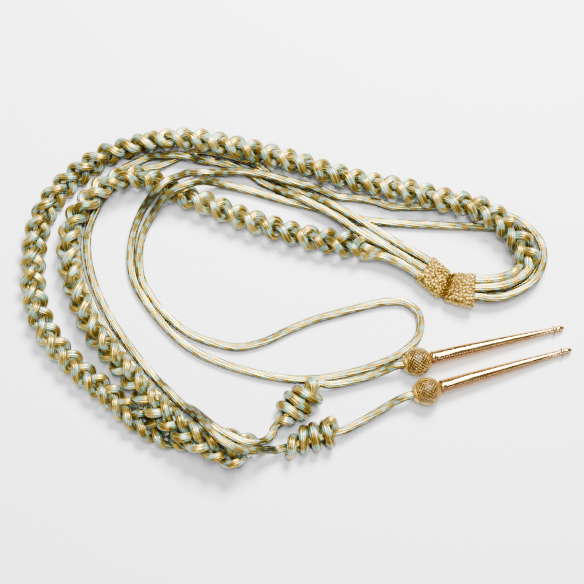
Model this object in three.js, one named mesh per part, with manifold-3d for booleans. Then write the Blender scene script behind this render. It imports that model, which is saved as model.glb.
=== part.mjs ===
// Aiguillette: two plaited bands, a doubled loop cord, two tag cords with coil
// knots, knitted balls and tapered metal tags, all gathered in a woven gold wrap.
// It lies flat, as it is laid out on a table. Millimetres, +Z up, floor at Z = 0.

import * as THREE from 'three';
import Module from 'manifold-3d';
import { mergeVertices } from 'three/addons/utils/BufferGeometryUtils.js';

const wasm = await Module();
wasm.setup();

// Overall sizes

// One unit of the plan that the routes are laid out on. It sets the whole size.
const UNIT = 0.65;
// The plan's zero lies this far in mm from the middle of the finished object.
const PLAN_ZERO = [2.35, -0.1];
// The free cords and the cords in the plaits.
const CORD_D = 5.4;
const STRAND_D = 4.35;
// The gap that touching pieces keep.
const GAP = 0.3;
// A cord lies this far above the floor, so that it never dips below it.
const FLOOR_GAP = 0.05;
// Sides of a round cord and of a cord in a plait.
const CORD_SIDES = 8;
const STRAND_SIDES = 5;

// Plaits

// A cord of the plait swings this far to each side and this far up and down.
const SWING = 6.1;
const SWELL = 4.2;
// Crossings repeat after this many swings over the length of each plait.
const OUTER_TURNS = 17;
const INNER_TURNS = 11.5;
const OUTER_START = 0;
const INNER_START = 0;
// Stations of one swing, in degrees. They hit every crossing and every edge.
const STATIONS = [30, 70, 110, 150, 210, 250, 290, 330];

// Coil knots

const COIL_BANDS = 4;
const COIL_WIDTH = 21.4;
const COIL_HEIGHT = 16.2;
const COIL_GROOVE = 1.8;
const COIL_SIDES = 12;
// Middle in plan units, length in mm, direction in degrees, and each turn's width
// as a share of the full width, from the cord's entry on.
const COIL_1_AT = [-2, -110];
const COIL_1_LENGTH = 27;
const COIL_1_DEGREES = 45;
const COIL_1_TURNS = [0.7, 1, 1, 0.95];
const COIL_2_AT = [11.5, -143.5];
const COIL_2_LENGTH = 30;
const COIL_2_DEGREES = 16;
const COIL_2_TURNS = [0.85, 0.97, 1, 0.97];

// Balls and tags

const BALL_D = 18.2;
const BALL_FLAT_D = 7;
const BALL_SIDES = 12;
const BALL_1_AT = [118.4, -65.4];
const BALL_2_AT = [127.7, -94.7];
const TAG_1_DEGREES = 13;
const TAG_2_DEGREES = 15.9;
const TAG_LENGTH = 88;
const TAG_SIDES = 12;
// Height of the middle of the tip's end, which rests on the floor.
const TAG_TIP_Z = 3.2;
// Share of the length and diameter in mm, from the base to the tip.
const TAG_PROFILE = [
  [0, 0],
  [0, 7.6],
  [0.008, 9.2],
  [0.04, 9.2],
  [0.3, 8.1],
  [0.6, 6.3],
  [0.885, 3.6],
  [0.893, 5.6],
  [0.912, 6.2],
  [0.931, 5.6],
  [0.938, 3.9],
  [0.975, 3.6],
  [0.995, 2],
  [1, 0],
];

// Point on the axis of a piece, a distance in mm from its middle, in plan units.
function onAxis([x, y], degrees, distance) {
  const turn = (degrees * Math.PI) / 180;
  return [
    x + (distance * Math.cos(turn)) / UNIT,
    y + (distance * Math.sin(turn)) / UNIT,
  ];
}

// The last straight points of a cord before it meets an end of a coil knot, and the
// first after it. The cord is level with the knot's middle there.
const LEAD = 7;

function coilStart(at, degrees, length) {
  return [LEAD, 0].map((more) => [
    ...onAxis(at, degrees, -length / 2 - GAP - more),
    COIL_HEIGHT / 2,
  ]);
}

function coilEnd(at, degrees, length) {
  return [0, LEAD].map((more) => [
    ...onAxis(at, degrees, length / 2 + GAP + more),
    COIL_HEIGHT / 2,
  ]);
}

const COIL_1_START = coilStart(COIL_1_AT, COIL_1_DEGREES, COIL_1_LENGTH);
const COIL_1_END = coilEnd(COIL_1_AT, COIL_1_DEGREES, COIL_1_LENGTH);
const COIL_2_START = coilStart(COIL_2_AT, COIL_2_DEGREES, COIL_2_LENGTH);
const COIL_2_END = coilEnd(COIL_2_AT, COIL_2_DEGREES, COIL_2_LENGTH);

// Distance from a ball's middle to its flats, and the slope of a tag on the floor.
const BALL_END = (BALL_D / 2) * Math.cos(Math.asin(BALL_FLAT_D / BALL_D));
const TAG_REACH = BALL_END + GAP + TAG_LENGTH;
const TAG_SLOPE = Math.asin((BALL_D / 2 - TAG_TIP_Z) / TAG_REACH);

// The last straight points of a cord before it meets its ball.
function ballStart(at, degrees) {
  return [LEAD, 0].map((more) => {
    const back = -(BALL_END + GAP + more);
    return [
      ...onAxis(at, degrees, back * Math.cos(TAG_SLOPE)),
      BALL_D / 2 - back * Math.sin(TAG_SLOPE),
    ];
  });
}

const BALL_1_START = ballStart(BALL_1_AT, TAG_1_DEGREES);
const BALL_2_START = ballStart(BALL_2_AT, TAG_2_DEGREES);

// Wrap

const WRAP_WALL = 1.3;
const WRAP_CORNER = 4.2;
const WRAP_POCKET = 9;

// Plan of the outer plait from its right end to its lower end.
// x and y in plan units, rise in mm of the centre, roll in degrees.
const OUTER_PLAIT = [
  [229, 36, 12.4, 12],
  [219, 55, 13.0, 16],
  [204, 72, 13.4, 20],
  [182, 86, 13.6, 28],
  [140, 97, 13.8, 38],
  [105, 106, 13.8, 40],
  [72, 113, 10.2, 40],
  [36, 123, 8.9, 40],
  [-10, 136, 13.4, 40],
  [-50, 146, 14.0, 40],
  [-98, 156, 14.0, 40],
  [-124, 158, 13.8, 40],
  [-146, 157, 10.2, 40],
  [-172, 150, 8.1, 40],
  [-194, 142, 8.1, 40],
  [-212, 130, 8.1, 40],
  [-232, 114, 8.1, 40],
  [-250, 92, 8.1, 40],
  [-262, 62, 8.1, 40],
  [-265, 30, 8.1, 40],
  [-262, -5, 8.1, 40],
  [-247, -41, 8.1, 40],
  [-216, -75, 8.1, 40],
  [-182, -103, 8.1, 36],
  [-158, -124, 7.4, 20],
  [-132, -138, 6.6, 8],
  [-104, -142, 6.4, 4],
  [-78, -143, 6.4, 4],
  [-58, -147, 6.3, 4],
  [-46, -151, 6.2, 4],
];

// Plan of the inner plait from its right end to its lower end, same columns.
const INNER_PLAIT = [
  [66, 49, 8.1, 20],
  [40, 53, 8.8, 30],
  [-2, 62, 8.1, 40],
  [-38, 73, 8.1, 40],
  [-62, 81, 8.1, 40],
  [-99, 96, 8.1, 40],
  [-128, 106, 8.1, 40],
  [-146, 115, 9.4, 40],
  [-161, 119, 12.0, 40],
  [-180, 116, 14.3, 40],
  [-200, 105, 14.3, 40],
  [-211, 93, 14.3, 40],
  [-222, 78, 14.3, 40],
  [-228, 58, 14.3, 40],
  [-228, 38, 14.3, 40],
  [-224, 16, 14.0, 40],
  [-217, -4, 13.8, 40],
  [-208, -26, 13.6, 40],
  [-197, -44, 13.4, 40],
  [-182, -60, 13.4, 40],
  [-164, -82, 14, 38],
  [-146, -103, 16, 26],
  [-128, -121, 18.4, 14],
  [-106, -138, 18.8, 8],
  [-88, -149, 18.6, 6],
  [-68, -157, 17.6, 4],
  [-54, -161, 16.8, 4],
];

// The three tails of each plait, from inside the wrap to the plait.
// x and y in plan units, height in mm of the centre.
const OUTER_TAILS = [
  [[163, 7, 10.1], [178, 7, 10.4], [191, 8, 10.8], [206, 11, 11.6], [221, 18, 12.8], [229, 26, 13]],
  [[163, 11.4, 4.3], [178, 11, 4.3], [192, 12, 4.3], [208, 15, 4.8], [222, 20, 6], [232, 28, 8]],
  [[163, 15.2, 10.1], [178, 15, 10.4], [191, 16, 11], [204, 18.5, 12], [215, 23, 13.5]],
];
const INNER_TAILS = [
  [[132.2, 16.8, 4.3], [122.7, 24.1, 4.3], [112, 30, 4.3], [98, 38, 4.5], [84, 43.5, 6]],
  [[137.8, 23.6, 4.3], [128.3, 30.9, 4.3], [116, 38, 4.2], [100, 46, 3.6], [84, 52, 3.6]],
  [[129.3, 13.5, 10.1], [120, 21, 10.1], [110, 27.5, 10.2], [98, 34, 10.4], [82, 39.5, 11]],
];

// Plan of the loop cord, from inside the wrap round the bight and back, same columns.
const LOOP_CORD = [
  [163, -1.5, 10.1],
  [178, -1.6, 10.1],
  [190, -3, 9.6],
  [204, -1.6, 8.6],
  [217, 3.2, 8.6],
  [229.4, 10.2, 8.6],
  [238, 18.5, 8.6],
  [243.5, 29, 8.6],
  [245.5, 42, 8.6],
  [243, 54, 7.6],
  [237, 64, 5],
  [228, 73, 2.9],
  [214, 81, 2.8],
  [194, 87, 2.8],
  [170, 90, 2.8],
  [147, 91, 2.8],
  [127, 91, 2.8],
  [109, 91, 2.8],
  [93, 91.5, 2.8],
  [78, 96.5, 2.8],
  [58, 100, 2.8],
  [40, 101.5, 2.8],
  [28, 106, 4],
  [14, 110.5, 6.5],
  [-4, 114.5, 8.6],
  [-24, 120, 8.6],
  [-42, 124, 8.6],
  [-53, 125.5, 8.6],
  [-64, 126, 8.2],
  [-76, 125.6, 6],
  [-88, 125.5, 4.4],
  [-98, 125, 5.4],
  [-109, 124, 9],
  [-121, 118, 15],
  [-131, 112, 19.6],
  [-140, 104, 19.6],
  [-148, 96, 14.6],
  [-157, 85, 8],
  [-163, 73, 4.2],
  [-167, 58, 2.9],
  [-168.5, 40, 2.8],
  [-167, 24, 2.8],
  [-161, 8, 2.8],
  [-150, -9, 2.8],
  [-134, -29, 2.8],
  [-116, -46, 2.8],
  [-99, -57, 2.8],
  [-76, -67, 2.8],
  [-50, -75, 2.8],
  [-22, -81, 2.8],
  [4, -83, 2.8],
  [31, -81, 2.8],
  [56, -75.5, 2.8],
  [80, -68, 2.8],
  [97, -60.5, 2.8],
  [110, -51.5, 2.8],
  [119, -42, 2.8],
  [122.5, -30, 2.8],
  [120, -16, 2.8],
  [106, -6, 2.8],
  [88, -5.5, 2.8],
  [70, -9, 2.8],
  [43, -16, 2.8],
  [16, -23.5, 2.8],
  [-12, -35, 2.8],
  [-33, -45, 2.8],
  [-60, -51, 2.8],
  [-86, -46, 2.8],
  [-106, -38.5, 2.8],
  [-123, -27, 2.8],
  [-137, -14, 2.8],
  [-149, 2, 2.8],
  [-157, 18, 2.8],
  [-159.8, 36, 2.8],
  [-159, 52, 2.8],
  [-155, 67, 3.4],
  [-147, 81, 6.6],
  [-137, 93, 13.6],
  [-124, 103, 19.6],
  [-111, 109, 19.6],
  [-98, 113.5, 15],
  [-86, 114.5, 8.5],
  [-73, 113, 4.6],
  [-48, 107.5, 2.9],
  [-28, 101.5, 2.8],
  [-6, 95.5, 2.8],
  [18, 90, 2.8],
  [40, 85, 2.8],
  [54, 81, 2.8],
  [67, 77.5, 2.8],
  [90, 75, 2.8],
  [112, 73.5, 2.8],
  [142, 72, 2.8],
  [168, 71, 2.8],
  [190, 70, 2.8],
  [206, 68, 2.8],
  [222, 61, 2.8],
  [233, 50, 2.8],
  [238.5, 38, 2.8],
  [238.5, 26, 2.8],
  [232, 16, 2.8],
  [220, 7.5, 2.8],
  [205, 1.5, 3],
  [190, 1.5, 4],
  [178, 2.6, 4.3],
  [163, 2.6, 4.3],
];

// Plans of the two tag cords from inside the wrap to the coil knots, same columns.
const TAG_CORD_1 = [
  [134.6, 19.8, 10.1],
  [125.5, 27.5, 10.1],
  [118, 31.5, 10.2],
  [106, 38.5, 10.5],
  [93, 46, 10.8],
  [80, 53.5, 10.8],
  [67.5, 60, 10.8],
  [55, 67.5, 10.4],
  [43.5, 76.5, 9],
  [33, 83, 8.6],
  [18, 90.5, 8.6],
  [2, 99, 8.2],
  [-12, 105, 5.5],
  [-25, 111, 2.9],
  [-38, 117, 2.8],
  [-50, 125, 2.8],
  [-62, 131.5, 2.8],
  [-76, 135.4, 2.8],
  [-88, 137.2, 3],
  [-100, 138.8, 5],
  [-109, 141, 8.4],
  [-121, 142.8, 8.8],
  [-130, 142.6, 8.2],
  [-141, 142.7, 6],
  [-151, 142.2, 3],
  [-164, 136.5, 2.8],
  [-180, 128, 2.8],
  [-197, 115, 2.8],
  [-210, 98, 2.8],
  [-218, 80, 2.8],
  [-222, 62, 2.8],
  [-222, 46, 2.8],
  [-219, 26, 2.8],
  [-212.5, 6, 2.8],
  [-201, -19, 2.8],
  [-186, -41, 2.8],
  [-170, -63.5, 2.8],
  [-153.5, -83.5, 2.8],
  [-139.5, -98.5, 2.8],
  [-125, -107, 2.8],
  [-106, -112.5, 5],
  [-95, -120, 11],
  [-85, -128, 15.6],
  [-75, -134.5, 16.2],
  [-62, -141, 16.2],
  [-50, -145.2, 16.2],
  [-40, -145.6, 14.8],
  [-32, -143.5, 11.5],
  [-25, -136.5, 8.8],
  ...COIL_1_START,
];
const TAG_CORD_2 = [
  [140.1, 26.6, 10.1],
  [131, 34.4, 10.1],
  [118, 41.8, 10.3],
  [105, 49, 10.6],
  [90, 58, 10.6],
  [74, 68, 10.4],
  [60, 77, 9.6],
  [47, 85, 8.8],
  [33, 92.5, 8.6],
  [20, 98, 6.2],
  [7, 104, 3.2],
  [-6, 110.5, 2.8],
  [-16, 116, 2.8],
  [-26, 122.5, 2.8],
  [-36, 129.5, 2.8],
  [-48, 136.5, 2.8],
  [-62, 141.5, 2.8],
  [-78, 145.5, 2.8],
  [-94, 148, 2.8],
  [-107, 147, 2.8],
  [-119, 143, 2.8],
  [-130, 137.5, 2.8],
  [-141, 132.5, 2.8],
  [-150, 131, 2.8],
  [-161, 127.5, 2.8],
  [-175, 120, 2.8],
  [-190, 108.5, 2.8],
  [-201, 94, 2.8],
  [-208, 78, 2.8],
  [-212, 62, 2.8],
  [-212, 45, 2.8],
  [-208, 24, 2.8],
  [-202, 6, 2.8],
  [-189, -20, 2.8],
  [-176, -40, 2.8],
  [-161, -60, 2.8],
  [-144, -80, 2.8],
  [-129, -94.5, 6.6],
  [-118, -105, 8.6],
  [-110, -112, 11],
  [-101, -119, 16],
  [-91, -128, 22],
  [-82, -136, 25.4],
  [-74, -143, 26.4],
  [-64, -149, 26.2],
  [-53, -152.8, 24],
  [-41, -153.4, 20],
  [-30, -152.8, 13],
  ...COIL_2_START,
];

// Plans of the tag cords from the coil knots to the balls, same columns.
const TAG_DROP_1 = [
  ...COIL_1_END,
  [30, -89, 7.4],
  [48, -86, 6.2],
  [66, -81.4, 6.2],
  [86, -74.6, 7.8],
  ...BALL_1_START,
];
const TAG_DROP_2 = [
  ...COIL_2_END,
  [64, -124, 6.6],
  [78, -116, 6.6],
  [93, -107, 7.6],
  ...BALL_2_START,
];

// The wrap's sections from its left mouth to its right mouth.
// x and y in plan units, half width and height in mm, direction in degrees.
const WRAP_SECTIONS = [
  [125.5, 27.5, 9.9, 14.6, -38],
  [135, 20, 9.3, 14.4, -37],
  [147.5, 10.5, 9.8, 12.6, -24],
  [160, 7, 10.4, 14.2, -9],
  [175, 5, 11, 14.8, -5],
];

// Pieces are made below from the sizes and plans above.

const material = (color, roughness, metalness) =>
  new THREE.MeshStandardMaterial({ color, roughness, metalness });

const group = new THREE.Group();
group.name = 'aiguillette';
group.position.set(PLAN_ZERO[0], PLAN_ZERO[1], 0);

function place(name, geometry, look) {
  const mesh = new THREE.Mesh(geometry, look);
  mesh.name = name;
  group.add(mesh);
  return mesh;
}

// A path of straight steps between given points.
class Steps extends THREE.Curve {
  constructor(points) {
    super();
    this.points = points;
  }

  getPoint(t, target = new THREE.Vector3()) {
    const at = Math.min(t * (this.points.length - 1), this.points.length - 1);
    const i = Math.min(Math.floor(at + 1e-9), this.points.length - 2);
    return target.lerpVectors(this.points[i], this.points[i + 1], at - i);
  }

  getPointAt(u, target) {
    return this.getPoint(u, target);
  }

  getTangentAt(u, target = new THREE.Vector3()) {
    const i = Math.round(u * (this.points.length - 1));
    const from = this.points[Math.max(i - 1, 0)];
    const to = this.points[Math.min(i + 1, this.points.length - 1)];
    return target.subVectors(to, from).normalize();
  }
}

// Closed tube of a round section along given points.
function tube(points, diameter, sides) {
  const section = new THREE.Shape();
  for (let i = 0; i < sides; i += 1) {
    const a = (2 * Math.PI * i) / sides;
    const x = (diameter / 2) * Math.cos(a);
    const y = (diameter / 2) * Math.sin(a);
    if (i === 0) {
      section.moveTo(x, y);
    } else {
      section.lineTo(x, y);
    }
  }
  return new THREE.ExtrudeGeometry(section, {
    steps: points.length - 1,
    bevelEnabled: false,
    extrudePath: new Steps(points),
  });
}

const planPoint = ([x, y, z]) => new THREE.Vector3(x * UNIT, y * UNIT, z);

// Smooth curve through plan points, stepped so that no step turns or runs too far.
function smooth(rows, longest = 18, turn = 28) {
  const curve = new THREE.CatmullRomCurve3(rows.map(planPoint), false, 'centripetal');
  const fine = curve.getSpacedPoints(Math.ceil(curve.getLength()));
  for (const point of fine) {
    point.z = Math.max(point.z, CORD_D / 2 + FLOOR_GAP);
  }
  const lead = 3;
  const points = [fine[0], fine[lead]];
  let run = 0;
  let bend = 0;
  for (let i = lead + 1; i < fine.length - 1 - lead; i += 1) {
    const into = fine[i].clone().sub(fine[i - 1]);
    const out = fine[i + 1].clone().sub(fine[i]);
    run += into.length();
    bend += THREE.MathUtils.radToDeg(into.angleTo(out));
    if (run >= longest || bend >= turn) {
      points.push(fine[i]);
      run = 0;
      bend = 0;
    }
  }
  if (run < longest / 3 && points.length > 3) {
    points.pop();
  }
  points.push(fine[fine.length - 1 - lead], fine[fine.length - 1]);
  return points;
}

// Plait: centre line with its sideways and upward directions at any length along it.
function plaitLine(rows) {
  const curve = new THREE.CatmullRomCurve3(rows.map(planPoint), false, 'centripetal');
  const count = 600;
  const fine = curve.getPoints(count);
  const lengths = [0];
  for (let i = 1; i <= count; i += 1) {
    lengths.push(lengths[i - 1] + fine[i].distanceTo(fine[i - 1]));
  }
  const total = lengths[count];
  const at = (s) => {
    const wanted = Math.min(Math.max(s, 0), total);
    let i = 0;
    while (i < count - 1 && lengths[i + 1] < wanted) {
      i += 1;
    }
    const f = (wanted - lengths[i]) / (lengths[i + 1] - lengths[i]);
    const centre = fine[i].clone().lerp(fine[i + 1], f);
    const along = fine[Math.min(i + 2, count)].clone().sub(fine[Math.max(i - 1, 0)]).normalize();
    const place01 = ((i + f) / count) * (rows.length - 1);
    const row = Math.min(Math.floor(place01), rows.length - 2);
    const roll = THREE.MathUtils.degToRad(
      THREE.MathUtils.lerp(rows[row][3], rows[row + 1][3], place01 - row),
    );
    const flat = new THREE.Vector3(0, 0, 1);
    const out = along.clone().cross(flat).normalize();
    const up = out.clone().cross(along).normalize();
    const side = out.clone().multiplyScalar(Math.cos(roll)).addScaledVector(up, Math.sin(roll));
    const face = up.clone().multiplyScalar(Math.cos(roll)).addScaledVector(out, -Math.sin(roll));
    return { centre, side, face };
  };
  return { total, at };
}

// One cord of a plait: its tail out of the wrap, then its swings along the plait.
function plaitStrand(line, turns, start, which, tail) {
  const length = line.total / turns;
  const points = [];
  const first = start + which * 120;
  for (let turnNo = Math.floor(first / 360) - 1; turnNo <= turns + 1; turnNo += 1) {
    for (const station of STATIONS) {
      const angle = turnNo * 360 + station;
      const s = ((angle - first) / 360) * length;
      if (s >= 0 && s <= line.total) {
        points.push(swingPoint(line, s, angle));
      }
    }
  }
  const lastAngle = first + turns * 360;
  points.push(swingPoint(line, line.total, lastAngle));
  if (points[points.length - 1].distanceTo(points[points.length - 2]) < 1.5) {
    points.splice(points.length - 2, 1);
  }
  if (tail.length === 0) {
    return points;
  }
  const lead = new THREE.CatmullRomCurve3(
    [...tail.map(planPoint), points[0], points[1]],
    false,
    'centripetal',
  );
  const leadPoints = [];
  const parts = (tail.length + 1) * 2;
  for (let i = 0; i < parts - 2; i += 1) {
    leadPoints.push(lead.getPoint(i / parts));
  }
  return [...leadPoints, ...points];
}

function swingPoint(line, s, angle) {
  const a = THREE.MathUtils.degToRad(angle);
  const { centre, side, face } = line.at(s);
  return centre
    .addScaledVector(side, SWING * Math.sin(a))
    .addScaledVector(face, SWELL * Math.sin(2 * a));
}

const cordLook = () => material(0xd0aa5e, 0.42, 0.6);

const outerLine = plaitLine(OUTER_PLAIT);
const innerLine = plaitLine(INNER_PLAIT);
for (let i = 0; i < 3; i += 1) {
  const outer = plaitStrand(outerLine, OUTER_TURNS, OUTER_START, i, OUTER_TAILS[i]);
  place(`outer_plait_strand_${i + 1}`, tube(outer, STRAND_D, STRAND_SIDES), cordLook());
  const inner = plaitStrand(innerLine, INNER_TURNS, INNER_START, i, INNER_TAILS[i]);
  place(`inner_plait_strand_${i + 1}`, tube(inner, STRAND_D, STRAND_SIDES), cordLook());
}

const cords = {
  loop_cord: LOOP_CORD,
  tag_cord_1_upper: TAG_CORD_1,
  tag_cord_2_upper: TAG_CORD_2,
  tag_cord_1_lower: TAG_DROP_1,
  tag_cord_2_lower: TAG_DROP_2,
};
for (const [name, rows] of Object.entries(cords)) {
  place(name, tube(smooth(rows), CORD_D, CORD_SIDES), cordLook());
}

// Coil knot: a barrel with a rounded lobe for each turn of the cord.
function coilKnot(name, [x, y], length, degrees, turns) {
  const pitch = length / COIL_BANDS;
  const profile = [new THREE.Vector2(0, -length / 2)];
  for (let band = 0; band < COIL_BANDS; band += 1) {
    const middle = -length / 2 + pitch * (band + 0.5);
    for (const [share, depth] of [[-0.5, 1], [-0.3, 0.25], [0, 0], [0.3, 0.25]]) {
      const radius = (COIL_WIDTH / 2) * turns[band] - COIL_GROOVE * depth;
      profile.push(new THREE.Vector2(radius, middle + pitch * share));
    }
  }
  const lastRadius = (COIL_WIDTH / 2) * turns[COIL_BANDS - 1] - COIL_GROOVE;
  profile.push(new THREE.Vector2(lastRadius, length / 2));
  profile.push(new THREE.Vector2(0, length / 2));
  const geometry = new THREE.LatheGeometry(profile, COIL_SIDES);
  geometry.rotateZ(-Math.PI / 2);
  geometry.scale(1, 1, COIL_HEIGHT / COIL_WIDTH);
  geometry.rotateZ(THREE.MathUtils.degToRad(degrees));
  geometry.translate(x * UNIT, y * UNIT, COIL_HEIGHT / 2);
  place(name, geometry, cordLook());
}

coilKnot('coil_knot_1', COIL_1_AT, COIL_1_LENGTH, COIL_1_DEGREES, COIL_1_TURNS);
coilKnot('coil_knot_2', COIL_2_AT, COIL_2_LENGTH, COIL_2_DEGREES, COIL_2_TURNS);

// Ball: a round body with a small flat at each end of its axis, which the cord and
// the tag meet.
function ball(name, [x, y], degrees) {
  const radius = BALL_D / 2;
  const rim = Math.asin(BALL_FLAT_D / BALL_D);
  const profile = [new THREE.Vector2(0, -radius * Math.cos(rim))];
  const rows = 8;
  for (let i = 0; i <= rows; i += 1) {
    const a = rim + ((Math.PI - 2 * rim) * i) / rows;
    profile.push(new THREE.Vector2(radius * Math.sin(a), -radius * Math.cos(a)));
  }
  profile.push(new THREE.Vector2(0, radius * Math.cos(rim)));
  const geometry = new THREE.LatheGeometry(profile, BALL_SIDES);
  geometry.rotateZ(-Math.PI / 2);
  aim(geometry, [x, y], degrees);
  place(name, geometry, material(0xc79a45, 0.45, 0.75));
}

// Turns a piece made along +X to its tag's slope and plan direction, about the ball.
function aim(geometry, [x, y], degrees) {
  geometry.rotateY(TAG_SLOPE);
  geometry.rotateZ(THREE.MathUtils.degToRad(degrees));
  geometry.translate(x * UNIT, y * UNIT, BALL_D / 2);
}

// Tag: a slim cone from its base to the neck, then the ring and the blunt tip.
function tag(name, at, degrees) {
  const profile = TAG_PROFILE.map(([along, diameter]) =>
    new THREE.Vector2(diameter / 2, BALL_END + GAP + along * TAG_LENGTH));
  const geometry = new THREE.LatheGeometry(profile, TAG_SIDES);
  geometry.rotateZ(-Math.PI / 2);
  aim(geometry, at, degrees);
  place(name, geometry, material(0xd9a066, 0.25, 1));
}

ball('ball_1', BALL_1_AT, TAG_1_DEGREES);
ball('ball_2', BALL_2_AT, TAG_2_DEGREES);
tag('tag_1', BALL_1_AT, TAG_1_DEGREES);
tag('tag_2', BALL_2_AT, TAG_2_DEGREES);

// Rounded section of the wrap at one of its stations, inset by a wall thickness.
function wrapRing([x, y, half, height, degrees], inset) {
  const corner = WRAP_CORNER - inset;
  const ring = [];
  const turn = THREE.MathUtils.degToRad(degrees);
  const steps = 3;
  for (let quarter = 0; quarter < 4; quarter += 1) {
    const sx = quarter === 0 || quarter === 3 ? 1 : -1;
    const sz = quarter < 2 ? 1 : -1;
    for (let i = 0; i <= steps; i += 1) {
      const a = (Math.PI / 2) * (quarter + i / steps);
      const side = sx * (half - inset - corner) + corner * Math.cos(a);
      const up = height / 2 + sz * (height / 2 - inset - corner) + corner * Math.sin(a);
      ring.push([
        x * UNIT - side * Math.sin(turn),
        y * UNIT + side * Math.cos(turn),
        up,
      ]);
    }
  }
  return ring;
}

// Closed solid through a row of rings that have the same number of points.
function loft(rings) {
  const size = rings[0].length;
  const positions = rings.flat();
  const index = [];
  for (let r = 0; r < rings.length - 1; r += 1) {
    for (let i = 0; i < size; i += 1) {
      const a = r * size + i;
      const b = r * size + ((i + 1) % size);
      index.push(a, b, a + size, b, b + size, a + size);
    }
  }
  const last = (rings.length - 1) * size;
  for (let i = 1; i < size - 1; i += 1) {
    index.push(0, i + 1, i);
    index.push(last, last + i, last + i + 1);
  }
  const geometry = new THREE.BufferGeometry();
  geometry.setAttribute('position', new THREE.Float32BufferAttribute(positions.flat(), 3));
  geometry.setIndex(index);
  return geometry;
}

function toManifold(geometry) {
  const plain = mergeVertices(geometry.clone().deleteAttribute('normal'), 1e-4);
  const mesh = new wasm.Mesh({
    numProp: 3,
    vertProperties: new Float32Array(plain.attributes.position.array),
    triVerts: new Uint32Array(plain.index.array),
  });
  return new wasm.Manifold(mesh);
}

function fromManifold(body) {
  const mesh = body.getMesh();
  const geometry = new THREE.BufferGeometry();
  geometry.setAttribute('position', new THREE.Float32BufferAttribute(mesh.vertProperties, 3));
  geometry.setIndex([...mesh.triVerts]);
  const split = geometry.toNonIndexed();
  split.computeVertexNormals();
  return split;
}

// Station moved along its own direction by a distance in mm.
function along([x, y, half, height, degrees], distance) {
  const turn = THREE.MathUtils.degToRad(degrees);
  return [
    x + (distance * Math.cos(turn)) / UNIT,
    y + (distance * Math.sin(turn)) / UNIT,
    half,
    height,
    degrees,
  ];
}

const firstMouth = WRAP_SECTIONS[0];
const lastMouth = WRAP_SECTIONS[WRAP_SECTIONS.length - 1];
const sleeve = toManifold(loft(WRAP_SECTIONS.map((station) => wrapRing(station, 0))));
const leftPocket = loft([
  wrapRing(along(firstMouth, -2), WRAP_WALL),
  wrapRing(along(firstMouth, WRAP_POCKET), WRAP_WALL),
]);
const rightPocket = loft([
  wrapRing(along(lastMouth, -WRAP_POCKET), WRAP_WALL),
  wrapRing(along(lastMouth, 2), WRAP_WALL),
]);
const wrap = sleeve.subtract(toManifold(leftPocket)).subtract(toManifold(rightPocket));
place('wrap', fromManifold(wrap), material(0xb88a2e, 0.5, 0.8));

export default group;
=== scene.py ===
# %% [markdown]
# # Aiguillette
# An aiguillette is a shoulder ornament of cord that is worn with a dress uniform. This
# one lies on a white table. Two plaited bands and two plain cords leave a sleeve of
# woven gold wire on one side, and a doubled loop of cord leaves it on the other side.
# The plain cords end in coil knots, knitted balls and pointed metal tags.
#
# The CAD model gives the frame: every piece here stands where its CAD node stands, so
# the first step loads it. The last step prints the box of the finished piece.

# %% Load the frame
import math

import bmesh
import bpy
import numpy as np
from mathutils import Matrix, Vector, noise


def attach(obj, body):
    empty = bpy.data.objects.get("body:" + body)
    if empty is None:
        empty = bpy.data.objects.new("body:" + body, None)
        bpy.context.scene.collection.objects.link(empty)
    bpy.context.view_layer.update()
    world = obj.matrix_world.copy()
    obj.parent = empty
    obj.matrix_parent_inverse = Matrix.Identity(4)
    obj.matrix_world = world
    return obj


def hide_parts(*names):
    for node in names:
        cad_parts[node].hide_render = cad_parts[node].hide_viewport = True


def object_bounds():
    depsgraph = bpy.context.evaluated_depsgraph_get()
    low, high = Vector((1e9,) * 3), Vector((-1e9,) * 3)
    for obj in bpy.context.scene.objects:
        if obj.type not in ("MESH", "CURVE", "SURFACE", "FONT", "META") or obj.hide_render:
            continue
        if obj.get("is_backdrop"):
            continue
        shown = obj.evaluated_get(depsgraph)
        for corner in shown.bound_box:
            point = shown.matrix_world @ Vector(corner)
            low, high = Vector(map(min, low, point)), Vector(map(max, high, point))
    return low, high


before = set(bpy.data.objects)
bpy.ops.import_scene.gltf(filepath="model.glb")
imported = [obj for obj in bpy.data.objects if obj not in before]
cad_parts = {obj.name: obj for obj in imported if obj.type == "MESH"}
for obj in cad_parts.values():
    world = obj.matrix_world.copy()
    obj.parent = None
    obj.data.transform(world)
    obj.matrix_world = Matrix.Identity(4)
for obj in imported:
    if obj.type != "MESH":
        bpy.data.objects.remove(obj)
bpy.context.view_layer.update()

# %% [markdown]
# ## Camera
# The photograph looks almost straight down, with a long lens. The camera stands a
# little in front of the ornament, so its elevation is 84 degrees. The distance follows
# from the lens and from the width of table that the photograph shows.

# %% Camera
SHOWN_WIDTH = 0.3796
LENS = 85
SENSOR = 36
ELEVATION = math.radians(84)
TARGET = Vector((-0.0016, 0.0025, 0.006))

camera_data = bpy.data.cameras.new("camera")
camera_data.lens = LENS
camera_data.sensor_width = SENSOR
camera_data.clip_start = 0.05
camera_data.clip_end = 20
camera = bpy.data.objects.new("camera", camera_data)
bpy.context.scene.collection.objects.link(camera)
back = Vector((0, -math.cos(ELEVATION), math.sin(ELEVATION)))
camera.location = TARGET + back * (SHOWN_WIDTH * LENS / SENSOR)
camera.rotation_mode = "QUATERNION"
camera.rotation_quaternion = back.to_track_quat("Z", "Y")
bpy.context.scene.camera = camera
print("camera height", round(camera.location.z, 3))

# %% [markdown]
# ## Table and light
# A pale table and soft light show shape without hard shadows. The main light is a wide
# soft panel above and behind the ornament, a little to the right, so shadows fall softly
# towards the viewer as in the photograph. A panel straight above gives each cord the
# bright line along its top, and a weak one fills the shadows from the front.

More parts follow.
